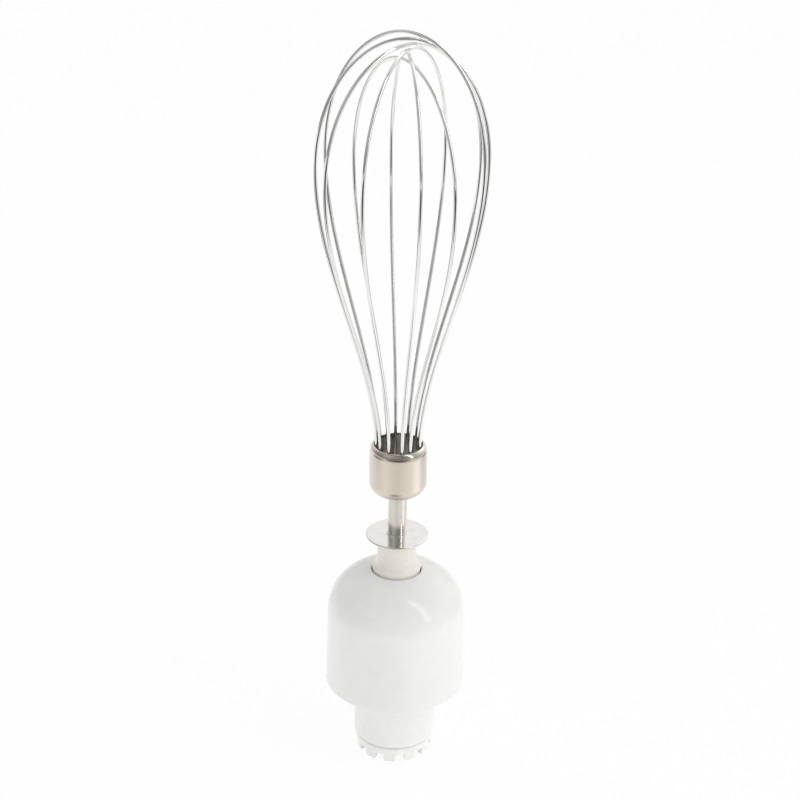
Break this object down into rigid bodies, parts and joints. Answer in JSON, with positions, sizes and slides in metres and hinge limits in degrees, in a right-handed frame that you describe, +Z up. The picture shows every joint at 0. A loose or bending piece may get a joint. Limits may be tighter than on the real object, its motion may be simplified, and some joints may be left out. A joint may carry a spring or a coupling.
{
  "type": "immersion blender whisk attachment",
  "caption": "Stick blender whisk attachment: domed gearbox collar with a toothed coupling end, planetary reduction inside, and a push-in balloon whisk with a splash disc.",
  "frame": {"origin": "on the whisk's axis, at the plane of the coupling ring's teeth tips that the part stands on", "axes": "+Z up along the axis of every shaft, towards the whisk's crown; -Y is the side that faces the camera in the picture"},
  "size_m": [0.0574, 0.0634, 0.267],
  "materials": {
    "white_plastic": "semi-gloss moulded white",
    "neck_plastic": "natural acetal, satin",
    "natural_plastic": "natural acetal",
    "grey_plastic": "glass-filled grey",
    "polished_steel": "polished stainless",
    "cup_steel": "satin nickel-like stainless, polished rim",
    "wire_steel": "drawn stainless wire",
    "plain_steel": "plain machined steel",
    "sintered_bronze": "sintered, oiled",
    "black_rubber": "matt"
  },
  "bodies": {
    "housing": {"bell_cover": "white_plastic", "housing_base": "white_plastic", "coupling_ring": "white_plastic", "internal_gear": "natural_plastic", "housing_screw_1": "plain_steel", "housing_screw_2": "plain_steel", "housing_screw_3": "plain_steel", "input_bush": "sintered_bronze", "output_bush": "sintered_bronze", "shaft_seal": "black_rubber"},
    "drive": {"drive_shaft": "plain_steel", "drive_socket": "grey_plastic", "sun_gear": "plain_steel", "retaining_clip": "plain_steel"},
    "carrier": {"planet_carrier": "natural_plastic", "carrier_plate": "natural_plastic", "thrust_washer": "plain_steel", "output_washer": "plain_steel", "planet_pin_1": "plain_steel", "planet_pin_2": "plain_steel", "planet_pin_3": "plain_steel", "output_neck": "neck_plastic", "socket_spring": "plain_steel"},
    "planet_1": {"planet_gear_1": "natural_plastic"},
    "planet_2": {"planet_gear_2": "natural_plastic"},
    "planet_3": {"planet_gear_3": "natural_plastic"},
    "whisk": {"whisk_shaft": "polished_steel", "splash_disc": "polished_steel", "wire_cup": "cup_steel", "wire_plug": "plain_steel", "wire_loop_1": "wire_steel", "wire_loop_2": "wire_steel", "wire_loop_3": "wire_steel", "wire_loop_4": "wire_steel", "wire_loop_5": "wire_steel", "wire_loop_6": "wire_steel"}
  },
  "joints": [
    {"name": "whisk_spin", "type": "hinge", "parent": "housing", "child": "carrier", "pos_m": [0, 0, 0.05], "axis": [0, 0, 1], "continuous": true},
    {"name": "input_spin", "type": "hinge", "parent": "housing", "child": "drive", "pos_m": [0, 0, 0.03], "axis": [0, 0, 1], "continuous": true},
    {"name": "planet_spin_1", "type": "hinge", "parent": "carrier", "child": "planet_1", "pos_m": [0, 0.01051, 0.04], "axis": [0, 0, 1], "continuous": true},
    {"name": "planet_spin_2", "type": "hinge", "parent": "carrier", "child": "planet_2", "pos_m": [-0.00911, -0.00526, 0.04], "axis": [0, 0, 1], "continuous": true},
    {"name": "planet_spin_3", "type": "hinge", "parent": "carrier", "child": "planet_3", "pos_m": [0.00911, -0.00526, 0.04], "axis": [0, 0, 1], "continuous": true},
    {"name": "whisk_pull", "type": "slide", "parent": "carrier", "child": "whisk", "axis": [0, 0, 1], "range_m": [0, 0.038]}
  ],
  "couplings": [
    {"joint": "input_spin", "follows": "whisk_spin", "ratio": 5},
    {"joint": "planet_spin_1", "follows": "whisk_spin", "ratio": -2.6667},
    {"joint": "planet_spin_2", "follows": "whisk_spin", "ratio": -2.6667},
    {"joint": "planet_spin_3", "follows": "whisk_spin", "ratio": -2.6667}
  ]
}
